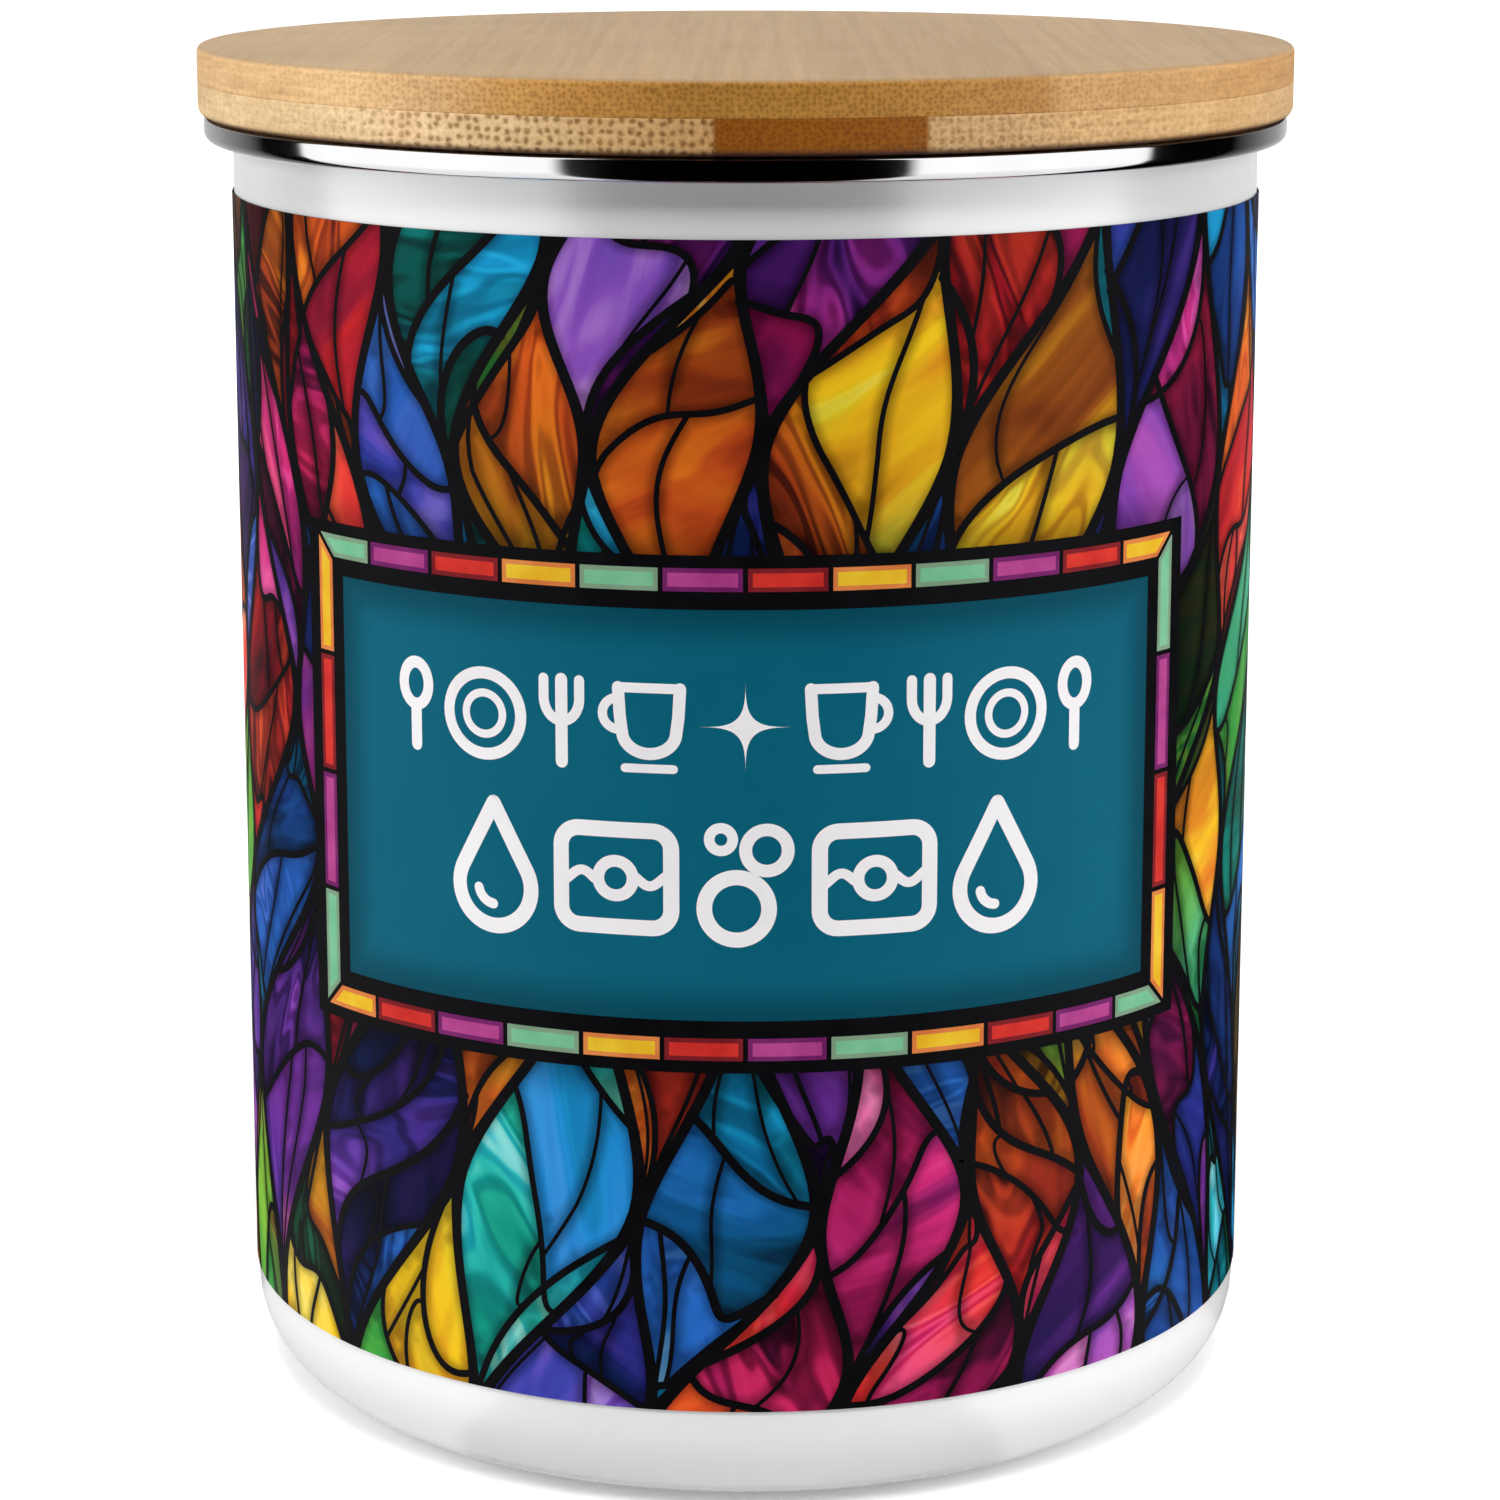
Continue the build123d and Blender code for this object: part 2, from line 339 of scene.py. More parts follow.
def ribbon(chain, widths, closed=False, steps=6):
    """Points and faces of a band along a chain, with round ends."""
    chain = np.array(chain, float)
    widths = np.broadcast_to(np.asarray(widths, float), len(chain))
    if closed:
        runs = np.roll(chain, -1, axis=0) - np.roll(chain, 1, axis=0)
    else:
        runs = np.gradient(chain, axis=0)
    runs /= np.linalg.norm(runs, axis=1)[:, None] + 1e-12
    across = np.stack([-runs[:, 1], runs[:, 0]], 1) * widths[:, None] / 2
    count = len(chain)
    points = list(chain - across) + list(chain + across)
    last = count if closed else count - 1
    faces = [
        [number, (number + 1) % count, (number + 1) % count + count, number + count]
        for number in range(last)
    ]
    if not closed:
        for index, sense in ((0, -1), (count - 1, 1)):
            cap = [index + count if sense < 0 else index]
            for step in range(1, steps):
                angle = math.pi * step / steps
                side = across[index] * (-math.cos(angle) if sense > 0 else math.cos(angle))
                point = chain[index] + side + sense * runs[index] * math.sin(angle) * widths[index] / 2
                cap.append(len(points))
                points.append(point)
            cap.append(index if sense < 0 else index + count)
            faces.append(cap)
    return np.array(points), faces


# Materials

white = (1, 1, 1, 1)
noise_low = 0.3
noise_high = 0.7
ink_rough = 0.45
ink_gloss = 0.04


def linear(code):
    """A colour written as six hexadecimal digits, in linear light."""
    values = [int(code[start:start + 2], 16) / 255 for start in (0, 2, 4)]
    return [v / 12.92 if v <= 0.04045 else ((v + 0.055) / 1.055) ** 2.4 for v in values] + [1]


class Nodes:
    """The nodes of a material or a world, made one by one."""

    def __init__(self, tree):
        self.tree = tree

    def feed(self, socket, value):
        """Links a socket to another one, or sets it to a value."""
        if isinstance(value, bpy.types.NodeSocket):
            self.tree.links.new(value, socket)
        else:
            socket.default_value = value

    def node(self, kind, inputs=None, **settings):
        made = self.tree.nodes.new("ShaderNode" + kind)
        for name, value in settings.items():
            setattr(made, name, value)
        for name, value in (inputs or {}).items():
            self.feed(made.inputs[name], value)
        return made

    def math(self, operation, first, second=0.0):
        return self.node("Math", {0: first, 1: second}, operation=operation).outputs[0]

    def plus(self, first, second):
        return self.math("ADD", first, second)

    def minus(self, first, second):
        return self.math("SUBTRACT", first, second)

    def times(self, first, second):
        return self.math("MULTIPLY", first, second)

    def spread(self, value, low, high, to_low=0.0, to_high=1.0, smooth=False):
        """A value carried from one range to another."""
        kind = "SMOOTHSTEP" if smooth else "LINEAR"
        inputs = {"Value": value, "From Min": low, "From Max": high, "To Min": to_low, "To Max": to_high}
        return self.node("MapRange", inputs, interpolation_type=kind).outputs["Result"]

    def seen(self):
        """1 for the camera's rays and for what gloss and glass would pass on to it."""
        path = self.node("LightPath").outputs
        direct = self.math("MAXIMUM", path["Is Camera Ray"], path["Is Glossy Ray"])
        return self.math("MAXIMUM", direct, path["Is Transmission Ray"])


class Surface(Nodes):
    """A material that is built up node by node."""

    def __init__(self, name):
        self.material = bpy.data.materials.new(name)
        self.material.use_nodes = True
        super().__init__(self.material.node_tree)
        self.shader = self.tree.nodes["Principled BSDF"]
        self.output = self.tree.nodes["Material Output"].inputs["Surface"]

    def stretched(self, vector, scale):
        return self.node("Mapping", {"Vector": vector, "Scale": scale}).outputs["Vector"]

    def millimetres(self, scale=(1, 1, 1)):
        """Places on the piece in millimetres, each direction scaled."""
        place = self.node("TexCoord").outputs["Object"]
        return self.stretched(place, [value / millimetre for value in scale])

    def noise(self, place=(1, 1, 1), scale=1.0, detail=3, roughness=0.5, distortion=0.0):
        """Noise over a vector, or over the millimetres of the piece in three scales."""
        if isinstance(place, tuple):
            place = self.millimetres(place)
        inputs = {"Vector": place, "Scale": scale, "Detail": detail}
        inputs.update({"Roughness": roughness, "Distortion": distortion})
        return self.node("TexNoise", inputs).outputs["Fac"]

    def joined(self, *parts, kind="CombineXYZ"):
        """A vector or a colour of three numbers."""
        return self.node(kind, dict(enumerate(parts))).outputs[0]

    def attribute(self, name):
        return self.node("Attribute", attribute_name=name).outputs["Fac"]

    def between(self, noise, low, high):
        """A value that a noise carries from low to high."""
        return self.spread(noise, noise_low, noise_high, low, high)

    def shaded(self, noise, low, high):
        """A colour that a noise carries from one to another."""
        return self.ramp(noise, [(noise_low, low), (noise_high, high)])

    def ramp(self, value, stops, constant=False):
        made = self.node("ValToRGB", {"Fac": value})
        band = made.color_ramp
        band.interpolation = "CONSTANT" if constant else "LINEAR"
        while len(band.elements) < len(stops):
            band.elements.new(1.0)
        for element, (position, colour) in zip(band.elements, stops):
            element.position = position
            element.color = linear(colour)
        return made.outputs["Color"]

    def mix(self, share, first, second, blend="MIX"):
        inputs = {0: share, 6: first, 7: second}
        return self.node("Mix", inputs, data_type="RGBA", blend_type=blend).outputs[2]

    def glow(self, strength):
        return self.node("Emission", {"Color": white, "Strength": strength}).outputs[0]

    def finish(self, colour, roughness, height=None, lift=0.02, strength=0.2, **plain):
        """Feeds the shader. The bump's lift is in millimetres, and plain holds the fixed sockets."""
        sockets = self.shader.inputs
        self.feed(sockets["Base Color"], colour)
        self.feed(sockets["Roughness"], roughness)
        for name, value in plain.items():
            sockets[name.replace("_", " ")].default_value = value
        if height is not None:
            bump = {"Height": height, "Strength": strength, "Distance": lift * millimetre}
            self.feed(sockets["Normal"], self.node("Bump", bump).outputs["Normal"])
        return self.material


def enamel_surface():
    """White vitreous enamel: glossy, with the faint waves of the fired coat."""
    look = Surface("white_enamel")
    cloud = look.noise(scale=0.04, detail=2)
    wave = look.noise(scale=0.12, detail=1)
    colour = look.shaded(cloud, "f7f7f8", "fafafa")
    return look.finish(colour, look.between(cloud, 0.22, 0.265), wave, strength=0.15, IOR=2.6)


def steel_surface():
    """Polished stainless sheet, with fine rolling marks along the rim."""
    look = Surface("bright_steel")
    lines = look.noise((0.05, 0.05, 14), detail=2)
    patches = look.noise((0.12, 0.12, 0.12))
    colour = look.shaded(patches, "dcdcde", "e6e6e7")
    rough = look.between(patches, 0.06, 0.11)
    return look.finish(colour, rough, lines, lift=0.004, strength=0.12, Metallic=1.0)


def silicone_surface():
    """Soft translucent silicone, slightly dusty."""
    look = Surface("silicone")
    dust = look.noise(scale=0.8, detail=4)
    colour = look.shaded(dust, "d9dcdc", "e6e8e7")
    rough = look.between(dust, 0.38, 0.55)
    return look.finish(colour, rough, dust, Subsurface_Weight=0.3, Subsurface_Scale=0.002)


def black_surface():
    """Glossy black of the leads, a little uneven as printed ink is."""
    look = Surface("print_black")
    cloud = look.noise(scale=0.3)
    colour = look.shaded(cloud, "08080a", "0e0e11")
    return look.finish(colour, look.between(cloud, 0.4, 0.5), Specular_IOR_Level=ink_gloss)


def glass_surface(name, tones, colder, warmer):
    """Printed marbled glass: painted flows and gradients, darker towards its leads."""
    look = Surface(name)
    seed = look.attribute("seed")
    flow = look.joined(look.attribute("along"), look.attribute("across"), seed)
    swirl = look.noise(look.stretched(flow, (0.05, 0.16, 1.0)), detail=1, distortion=0.9)
    streak = look.noise(look.stretched(flow, (0.07, 0.7, 1.0)), distortion=0.5)
    marble = look.spread(look.math("FRACT", seed), 0.45, 0.8, 0.15, 1.0)
    bands = look.math("SINE", look.times(swirl, 38.0))
    bands = look.times(look.spread(bands, -1.0, 1.0, -0.11, 0.13, smooth=True), marble)
    swing = look.minus(swirl, 0.5)
    ripple = look.times(look.minus(streak, 0.5), 0.2)
    tone = look.plus(look.attribute("tone"), look.plus(look.times(swing, 0.7), ripple))
    tone = look.plus(tone, bands)
    positions = (0.0, 0.28, 0.56, 0.82, 1.0)
    colour = look.ramp(tone, list(zip(positions, tones)))
    lean = look.plus(look.attribute("blend"), look.times(swing, 1.3))
    for beside, sense in ((warmer, 1), (colder, -1)):
        share = look.spread(lean, 0.1 * sense, 0.9 * sense, 0.0, 0.8)
        colour = look.mix(share, colour, look.ramp(tone, list(zip(positions, beside))))
    edge = look.spread(look.attribute("edge"), 0.15, 1.5, 0.4, 1.0, smooth=True)
    dark = look.times(edge, look.attribute("shade"))
    colour = look.mix(1.0, colour, look.joined(dark, dark, dark, kind="CombineColor"), "MULTIPLY")
    return look.finish(colour, look.between(streak, 0.38, 0.48), Specular_IOR_Level=ink_gloss)


def teal_surface():
    """Plain teal field of the panel, darker towards its frame."""
    look = Surface("panel_teal")
    cloud = look.noise(scale=0.07)
    edge = look.spread(look.attribute("edge"), 0, 4.5, smooth=True)
    colour = look.mix(edge, linear("06485a"), look.shaded(cloud, "085e76", "0a637a"))
    return look.finish(colour, ink_rough, Specular_IOR_Level=ink_gloss)


def ink_surface(name, low, high, scale, detail=2):
    """One plain printed colour, slightly clouded."""
    look = Surface(name)
    cloud = look.noise(scale=scale, detail=detail)
    return look.finish(look.shaded(cloud, low, high), ink_rough, Specular_IOR_Level=ink_gloss)


def end_grain(look, side, height, grain, is_upper):
    """How much the cut fibres darken the lid's edge: dots in the lower ply, specks in the upper one."""
    wobble = look.node("TexNoise", {"Vector": grain, "Scale": 1.3}).outputs["Color"]
    bend = look.node("VectorMath", {0: wobble, "Scale": 0.5}, operation="SCALE").outputs[0]
    section = look.node("VectorMath", {0: look.joined(side, height), 1: bend}).outputs[0]
    coarse, fine = (
        look.node("TexVoronoi", {"Vector": section, "Scale": scale, "Randomness": scatter},
                  voronoi_dimensions="2D").outputs["Distance"]
        for scale, scatter in ((1.12, 0.45), (2.0, 0.65))
    )
    left = look.times(look.spread(side, -40, -26), look.math("LESS_THAN", side, brown_left))
    right = look.spread(side, 46, 20, 0.1, 0.45)
    right = look.times(right, look.math("GREATER_THAN", side, brown_right))
    pale = look.times(look.minus(1.0, is_upper), look.plus(left, right))
    dot = look.times(look.spread(coarse, 0.12, 0.36, 0.44, 0.0, smooth=True), pale)
    halo = look.times(look.spread(coarse, 0.3, 0.5, 0.0, 0.22), pale)
    from_middle = look.math("ABSOLUTE", side)
    speck = look.spread(fine, 0.1, 0.55, 0.12, -0.07, smooth=True)
    speck = look.times(speck, look.spread(from_middle, 16, 44, 1.7, 0.4))
    fleck = look.noise((0.2, 0.05, 1.5), roughness=0.6)
    fleck = look.times(look.minus(fleck, 0.5), look.spread(from_middle, 20, 40, 0.1, 0.5))
    speck = look.times(look.plus(speck, fleck), look.spread(pale, 0, 1, 1.0, 0.5))
    return look.minus(look.plus(dot, speck), halo)


def sanded_face(look, share):
    """Colour of the lid's top: long grain on strips of slightly different tints."""
    grain = look.noise((0.8, 0.015, 1.0), detail=4, roughness=0.6)
    bands = look.noise((0.012, 0.06, 1.0))
    grain = look.plus(look.times(grain, 0.6), look.times(bands, 0.4))
    strip = look.ramp(share, [
        (0.0, "ffffff"), (0.194, "f9f9f8"), (0.37, "fefdfc"), (0.546, "f8f7f5"), (0.741, "fffefc"),
        (0.9, "f9f9f7"),
    ], constant=True)
    face = look.ramp(grain, [(0.35, "a28867"), (0.5, "ac916e"), (0.65, "b69a76")])
    return look.mix(1.0, face, strip, "MULTIPLY")


def bamboo_surface():
    """Laminated bamboo: two plies of strips whose fibres run from front to back, with a painted shadow
    along the lid's lower outer edge.
    """
    look = Surface("bamboo")
    side, depth, height = look.node("SeparateXYZ", {"Vector": look.millimetres()}).outputs
    share = look.spread(side, -ply_reach, ply_reach)
    lower = look.ramp(share, [
        (0.157, "e9c795"), (0.222, "e6c08f"), (0.278, "d6b280"), (0.333, "cea876"), (0.38, "c69e68"),
        (0.473, "ba8e58"), (0.475, "8a4e0a"), (0.645, "8e520e"), (0.647, "c29a68"), (0.722, "caa270"),
        (0.768, "d2a872"), (0.907, "dab078"), (1.0, "d6ae7e"),
    ])
    upper = look.ramp(share, [
        (0.0, "e3b984"), (0.194, "e3b983"), (0.25, "d6aa75"), (0.306, "ca9652"), (0.37, "bc8640"),
        (0.454, "aa7834"), (0.546, "aa7832"), (0.648, "b4803c"), (0.741, "b28046"), (0.759, "c79962"),
        (0.833, "cb9c65"), (0.963, "cd9c63"), (1.0, "c39359"),
    ])
    is_upper = look.math("GREATER_THAN", height, ply_seam)
    colour = look.mix(is_upper, lower, upper)
    grain = look.millimetres((1.0, 0.03, 1.0))
    fibre = look.noise(grain, scale=1.8, detail=5, roughness=0.65)
    cloud = look.noise((0.12, 0.02, 0.2), detail=2)
    blotch = look.noise((0.5, 0.05, 0.7), roughness=0.6)
    shade = look.plus(look.between(fibre, 0.86, 1.1), look.between(cloud, -0.06, 0.06))
    shade = look.plus(shade, look.between(blotch, -0.05, 0.05))
    shade = look.minus(shade, end_grain(look, side, height, grain, is_upper))
    out = look.node("VectorMath", {0: look.joined(side, depth)}, operation="LENGTH").outputs["Value"]
    # Painted shadow: the lid's rounded lower edge is darkened where the gap above the steel rim would
    # shade it
    gap_shadow = look.spread(height, lid_under + 0.55, lid_under + 0.2, 0.0, 0.85)
    gap_shadow = look.times(look.math("GREATER_THAN", out, lid_radius - 1.1), gap_shadow)
    shade = look.times(shade, look.minus(1.0, gap_shadow))
    powers = [look.math("POWER", shade, power) for power in (1.0, 1.25, 1.6)]
    colour = look.mix(1.0, colour, look.joined(*powers, kind="CombineColor"), "MULTIPLY")
    top = look.spread(height, lid_top - 0.4, lid_top - 0.1)
    colour = look.mix(look.times(top, 0.92), colour, sanded_face(look, share))
    seam = look.node("Math", {0: height, 1: ply_seam, 2: 0.06}, operation="COMPARE").outputs[0]
    colour = look.mix(look.times(seam, 0.1), colour, linear("7c5527"))
    relief = look.times(shade, look.minus(1.0, top))
    rough = look.between(fibre, 0.45, 0.6)
    return look.finish(colour, rough, relief, lift=0.05, strength=0.4, Specular_IOR_Level=0.3)


# Round pieces

enamel = enamel_surface()
steel = steel_surface()
bamboo = bamboo_surface()
black = black_surface()

shell = soft_outline([
    (0, base_rise, 0), (bowl_radius, base_rise, 2), (foot_inner, 0, 1.5), (body_radius, 0, base_round),
    (body_radius, lip_under, 0.35), (lip_radius, lip_under, 0.6), (lip_radius, lip_top, 0.3),
    (mouth_radius, lip_top, 0.5), (inner_radius, mouth_low, 0.5), (inner_radius, wall, base_round - wall),
    (foot_inner + bowl_shift, wall, 1.5), (bowl_radius + bowl_shift, base_rise + wall, 1.5),
    (0, base_rise + wall, 0),
], steps=10)
place_piece("enamel_shell", turned(shell), "tin", ["enamel_body"], [enamel])

hoop = soft_outline([
    (ring_inner, ring_low, 0), (ring_radius, ring_low, 0.9), (ring_radius, ring_top, 0.28),
    (bevel_radius, ring_top, 0.4), (inner_radius, bevel_low, 0.3), (inner_radius, mouth_low, 0),
    (mouth_radius, lip_top, 0), (lip_radius, lip_top, 0), (lip_radius, lip_under, 0.6),
    (ring_inner, lip_under, 0),
], steps=9)
place_piece("steel_hoop", turned(hoop), "tin", ["rim_ring"], [steel])

plies = soft_outline([
    (0, plug_low, 0), (plug_radius, plug_low, 1.0), (plug_radius, groove_low, 0.15),
    (groove_radius, groove_low, 0), (groove_radius, groove_top, 0), (plug_radius, groove_top, 0.15),
    (plug_radius, lid_under, 0.3), (lid_radius, lid_under, 0.95), (lid_radius, ply_seam - seam_dip, 0),
    (lid_radius - seam_dip, ply_seam, 0), (lid_radius, ply_seam + seam_dip, 0),
    (lid_radius, lid_top, 0.6), (0, lid_top, 0),
])
place_piece("bamboo_plies", turned(plies), "lid", ["bamboo_lid"], [bamboo])

for entry in bpy.data.objects["seal_ring"].material_slots:
    entry.material = silicone_surface()


# Glass

sway_turn = 8.0
sway_waves = 2
roll_rise = 3.2
roll_waves = 3
outline_lead = 1.0
outline_swell = 0.75  # how much wider an outline's lead is at its ends
cross_lead = 0.72
vein_lead = 0.38
least_piece = 0.6  # smallest area of a piece of glass
glass_grid = 1.25  # between the points inside the glass
panel_shade = 3.4  # how far the panel darkens the glass beside it
field_reach = 30  # how far from the print the middle of a field with glass may be

# Five tones of each glass, from dark to light, in the order of the colour wheel
glass_tones = {
    "red": ("36060e", "96141e", "d8242a", "ee4638", "f4826e"),
    "orange": ("42160c", "a03a16", "e2601e", "f6892e", "fbb45e"),
    "yellow": ("3c2206", "8e5810", "d89a18", "f4c81c", "fae26a"),
    "green": ("0c2414", "1c6230", "3a9a3e", "84c040", "c6da60"),
    "teal": ("03201f", "04544e", "0a8a7a", "24b498", "80d6ba"),
    "cyan": ("042a44", "0a6494", "16a0d8", "3cc2f0", "94e0f6"),
    "blue": ("06143a", "123c84", "2668c4", "4a90e0", "86baf0"),
    "indigo": ("05081e", "10164a", "262c86", "464ab4", "7c80d2"),
    "purple": ("160626", "40165e", "702e98", "9a54bc", "c490da"),
    "pink": ("340620", "8a124a", "d42c7a", "ec5ca0", "f49cc6"),
}
glass_colours = list(glass_tones)


def lattice(column, row):
    """Turn and height of a place in the lattice, as in the part's source."""
    turn = column_turn * column
    angle = math.radians(turn)
    rise = math.tau * row / row_count
    sway = sway_turn * math.sin(rise + sway_waves * angle)
    roll = roll_rise * math.sin(roll_waves * angle - rise)
    return turn + sway, print_low + row_rise * row + roll


def glass_colour(column, row, shuffle):
    """The colour of a field, as in the part's source."""
    around = math.tau * column / column_count
    upward = math.tau * row / row_count
    place = 5 + 2.6 * math.sin(2 * around + upward)
    place += 3.0 * math.cos(3 * around - 2 * upward)
    place += 2.0 * shuffle.random()
    return round(place) % len(glass_colours)


def half_width(along):
    """Half the width of a field, in columns, at a share of a row above or below its middle."""
    share = min(abs(along), 1)
    return (0.4 * (1 - share) + 0.6 * (1 + math.cos(math.pi * share)) / 2) / 2


def in_field(column, row, across, along):
    """The place on the print of a share across and along a field."""
    turn, height = lattice(column + half_width(along) * across, row + along)
    return math.radians(turn) * body_radius, height


def cross_lines(chance):
    """Lines across a field, from below upwards, as functions of the share across it."""
    count = chance.choice((3, 3, 4))
    lean = chance.choice((-1, 1)) * chance.uniform(0.18, 0.42)
    lines = []
    for number in range(count):
        middle = -0.62 + 1.24 * number / (count - 1) + chance.uniform(-0.07, 0.07)
        slope = lean * chance.uniform(0.7, 1.2) * (1 if number % 2 else chance.choice((-1, 1)))
        bend = chance.uniform(-0.16, 0.16)
        curl = chance.uniform(-0.1, 0.1)
        lines.append((middle, slope, bend, curl))
    return sorted(lines)


def line_at(line, across):
    """Where a line across a field is, along it."""
    middle, slope, bend, curl = line
    along = middle + slope * across + bend * (1 - across * across)
    return along + curl * math.sin(math.pi * across)


chance = random.Random(11)
shuffle = random.Random(1)
glass_values = ("tone", "edge", "shade", "along", "across", "seed", "blend")
layers = {name: Film(glass_values) for name in glass_colours}
leads = Film()
panel_half = panel_width / 2
panel_low = panel_middle - panel_height / 2
panel_high = panel_middle + panel_height / 2


def panel_gap(points):
    """How far places on the print are from the panel."""
    beside = np.maximum(np.abs(points[:, 0]) - panel_half, 0)
    above = np.maximum(np.abs(points[:, 1] - panel_middle) - panel_height / 2, 0)
    return np.hypot(beside, above)


def under_panel(points):
    """Whether the panel hides all of the places."""
    aside = np.abs(np.asarray(points) - (0, panel_middle))
    return bool((aside < (panel_half - 0.2, panel_height / 2 - 0.2)).all())


def on_wall(points):
    """Places with their length brought to within half a turn of the front."""
    points = np.array(points)
    reach = math.tau * body_radius
    points[:, 0] -= reach * np.round(points[:, 0].mean() / reach)
    return points


def add_lead(chain, widths):
    """Adds a lead along a chain to the black of the print."""
    chain = on_wall(chain)
    if under_panel(chain) or chain[:, 1].max() < print_low or chain[:, 1].min() > print_top:
        return
    points, faces = ribbon(chain, widths)
    leads.add(points, faces)


def add_outline(column, row):
    """Adds the leads of a field's sides above its middle, and returns the field's closed outline."""
    rise = np.linspace(0, 1, 19)
    for side in (-1, 1):
        arc = [in_field(column, row, side, share) for share in rise]
        add_lead(arc, outline_lead + outline_swell * np.abs(2 * rise - 1) ** 4)
    climb = np.linspace(-1, 1, 56)
    outline = [in_field(column, row, 1, share) for share in climb]
    return outline + [in_field(column, row, -1, share) for share in climb[::-1]][1:]


def add_crossing(column, row, line):
    """Adds the lead of a line across a field, and returns its chain."""
    chain = [in_field(column, row, share, line_at(line, share)) for share in np.linspace(-1.04, 1.04, 25)]
    add_lead(chain, cross_lead * chance.uniform(0.8, 1.2))
    return chain


def add_vein(column, row, low, high, shift):
    """Adds a fine lead from one line across a field to the next, and returns its chain."""
    start = chance.uniform(-0.45, 0.45) + shift
    stop = start + chance.uniform(-0.4, 0.4)
    bulge = chance.uniform(-0.3, 0.3)
    chain = []
    for share in np.linspace(0, 1, 19):
        across = start + (stop - start) * share + bulge * math.sin(math.pi * share)
        along = (1 - share) * line_at(low, across) + share * line_at(high, across)
        chain.append(in_field(column, row, across, along))
    add_lead(chain, vein_lead * chance.uniform(0.8, 1.3))
    return chain


def add_field(column, row, own):
    """Adds one field of the lattice: its glass, its leads and the two outlines above its middle."""
    outline = add_outline(column, row)
    lines = cross_lines(chance)
    chains = [outline] + [add_crossing(column, row, line) for line in lines]
    rungs = [(-1.0, 0, 0, 0)] + lines + [(1.0, 0, 0, 0)]
    for number, (low, high) in enumerate(zip(rungs, rungs[1:])):
        ends = number in (0, len(rungs) - 2)
        count = 0 if ends and chance.random() < 0.6 else chance.choice((1, 1, 2))
        for turn in range(count):
            chains.append(add_vein(column, row, low, high, (turn - (count - 1) / 2) * 0.7))
    families = [own]
    families += [(own + chance.choice((0, 0, 0, 1, -1, 1))) % len(glass_colours) for _ in rungs]
    tones = [chance.uniform(0.04, 0.76) for _ in rungs]
    middle = np.array(outline).mean(0)
    if print_low - field_reach <= middle[1] <= print_top + field_reach:
        add_glass(column, row, chains, lines, families, tones)


def add_glass(column, row, chains, lines, families, tones):
    """Adds the pieces of glass that a field's chains part from each other."""
    samples = [(across, along) for across in np.linspace(-1, 1, 9) for along in np.linspace(-1, 1, 33)]
    sampled = np.array([in_field(column, row, *sample) for sample in samples])
    shift = on_wall(chains[0])[0, 0] - chains[0][0][0]
    flat, groups, edge = fill(chains, glass_grid)
    moved = flat + (shift, 0)
    for faces in groups:
        seed = chance.uniform(0, 90)
        tint = chance.uniform(-0.16, 0.16)
        fade = chance.uniform(-0.22, 0.22)
        lean = chance.uniform(-0.5, 0.5)
        turn = chance.uniform(-0.5, 0.5)
        twist = chance.uniform(-1.2, 1.2)
        used = sorted({index for face in faces for index in face})
        if area_of(flat, faces) < least_piece or under_panel(moved[used]):
            continue
        centre = flat[used].mean(0)
        across, along = samples[int(np.argmin(((sampled - centre) ** 2).sum(1)))]
        rung = sum(line_at(line, across) < along for line in lines)
        offset = flat - centre
        axis = np.linalg.eigh(offset[used].T @ offset[used])[1][:, -1]
        share = offset @ axis
        share /= np.abs(share[used]).max()
        cosine, sine = math.cos(twist), math.sin(twist)
        axis = axis @ np.array(((cosine, sine), (-sine, cosine)))
        values = np.stack([
            tones[rung] + tint + fade * share,
            edge,
            np.clip(panel_gap(moved) / panel_shade, 0, 1) * 0.6 + 0.4,
            offset @ axis,
            offset @ np.array((-axis[1], axis[0])),
            np.full(len(flat), seed),
            lean + turn * share,
        ], 1)
        layers[glass_colours[families[rung]]].add(moved, faces, values)


for row in range(-1, row_count + 2):
    for count in range(column_count):
        column = count + 0.5 * (row % 2)
        add_field(column, row, glass_colour(column, row, shuffle))

for place, (name, layer) in enumerate(layers.items()):
    slot = "glass_" + name
    beside = [glass_tones[glass_colours[(place + step) % len(glass_colours)]] for step in (-1, 1)]
    material = glass_surface(slot, glass_tones[name], *beside)
    place_piece("print_" + slot, layer.mesh(*glass_layer), "tin", [slot], [material])


# Panel

def grid(left, right, low, high, step=1.6):
    """A flat rectangle of small faces."""
    wide = max(1, round((right - left) / step))
    tall = max(1, round((high - low) / step))
    points = [
        (left + (right - left) * x / wide, low + (high - low) * y / tall)
        for y in range(tall + 1)
        for x in range(wide + 1)
    ]
    line = wide + 1
    faces = [
        [y * line + x, y * line + x + 1, (y + 1) * line + x + 1, (y + 1) * line + x]
        for y in range(tall)
        for x in range(wide)
    ]
    return np.array(points), faces


sleeve_inner = body_radius - 0.1
sleeve = turned(soft_outline([
    (sleeve_inner, print_low, 0), (ground_radius, print_low, 0),
    (ground_radius, print_top, 0), (sleeve_inner, print_top, 0),
]), 360)
place_piece("print_sleeve", sleeve, "tin", ["print_ground"], [black])
place_piece("print_leads", leads.mesh(*lead_layer), "tin", [], [black])
plate = Film()
plate.add(*grid(-panel_half, panel_half, panel_low, panel_high))
place_piece("panel_plate", plate.mesh(*plate_layer), "tin", [], [black])

frame_depth = frame_edge + tile_width + frame_inner
side_depth = frame_side_edge + tile_width + frame_inner
field_half = panel_half - side_depth
field_low = panel_low + frame_depth
field_high = panel_high - frame_depth
field = Film(("edge",))
points, faces = grid(-field_half, field_half, field_low, field_high)
gap = np.minimum(field_half - np.abs(points[:, 0]),
                 np.minimum(points[:, 1] - field_low, field_high - points[:, 1]))
field.add(points, faces, gap[:, None])
place_piece("panel_teal_field", field.mesh(*panel_layer), "tin", ["panel_field"],
            [teal_surface()])


